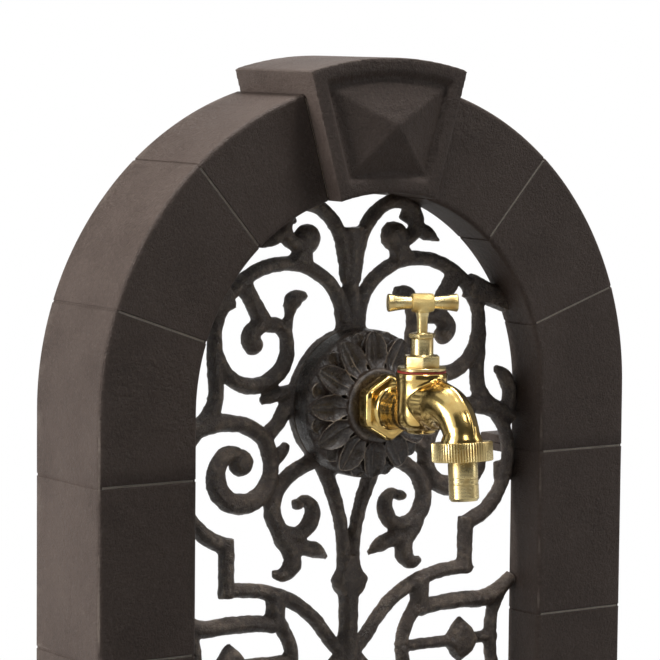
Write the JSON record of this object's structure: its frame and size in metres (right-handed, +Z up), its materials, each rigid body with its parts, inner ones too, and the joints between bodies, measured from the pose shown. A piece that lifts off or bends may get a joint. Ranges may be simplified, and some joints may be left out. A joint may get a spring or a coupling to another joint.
{
  "type": "garden fountain",
  "caption": "Cast garden fountain: arched block surround with a keystone, scrolled grille, brass bib tap and half-round basin.",
  "frame": {"origin": "middle of the footprint, on the ground", "axes": "+Z up, the tap and basin face -Y, +X to the right seen from the front"},
  "size_m": [0.372, 0.253, 0.658],
  "materials": {
    "dark_casting": "dark brown cast iron, sand-cast grain, satin",
    "plated_steel": "zinc plated",
    "bright_strainer": "plated",
    "polished_brass": "polished",
    "machined_brass": "turned, slightly dull",
    "black_rubber": "matt",
    "red_fibre": "red fibre"
  },
  "bodies": {
    "fountain": {"right_jamb": "dark_casting", "left_jamb": "dark_casting", "right_arch": "dark_casting", "left_arch": "dark_casting", "keystone": "dark_casting", "surround_bolts": "plated_steel", "surround_nuts": "plated_steel", "plinth": "dark_casting", "plinth_bolts": "plated_steel", "plinth_nuts": "plated_steel", "basin": "dark_casting", "basin_bolts": "plated_steel", "basin_nuts": "plated_steel", "drain_strainer": "bright_strainer", "drain_seal": "black_rubber", "drain_backnut": "machined_brass", "grille": "dark_casting", "grille_screws": "plated_steel", "rosette": "dark_casting", "tap_body": "polished_brass", "bonnet": "machined_brass", "bonnet_seal": "red_fibre", "gland_packing": "red_fibre", "gland_nut": "machined_brass", "back_washer": "black_rubber", "backnut": "machined_brass"},
    "jumper": {"jumper_valve": "machined_brass", "seat_washer": "black_rubber", "washer_nut": "machined_brass"},
    "handle": {"spindle": "machined_brass", "handle_hub": "machined_brass", "handle_bar": "machined_brass"},
    "hose_connector": {"hose_tail": "machined_brass", "tail_washer": "black_rubber"},
    "union_nut": {"union_nut": "machined_brass"}
  },
  "joints": [
    {"name": "valve_lift", "type": "slide", "parent": "fountain", "child": "jumper", "axis": [0, 0, 1], "range_m": [0, 0.005]},
    {"name": "handle_turn", "type": "hinge", "parent": "jumper", "child": "handle", "pos_m": [0, 0.0162, 0.5243], "axis": [0, 0, 1], "range_deg": [0, 900]},
    {"name": "connector_drop", "type": "slide", "parent": "fountain", "child": "hose_connector", "axis": [0, -0.0872, -0.9962], "range_m": [0, 0.00545]},
    {"name": "union_nut_turn", "type": "hinge", "parent": "hose_connector", "child": "union_nut", "pos_m": [0, -0.02186, 0.44685], "axis": [0, -0.0872, -0.9962], "range_deg": [0, 1080]}
  ],
  "couplings": [
    {"joint": "valve_lift", "follows": "handle_turn", "m_per_rad": 0.000318},
    {"joint": "connector_drop", "follows": "union_nut_turn", "m_per_rad": 0.0002887}
  ]
}
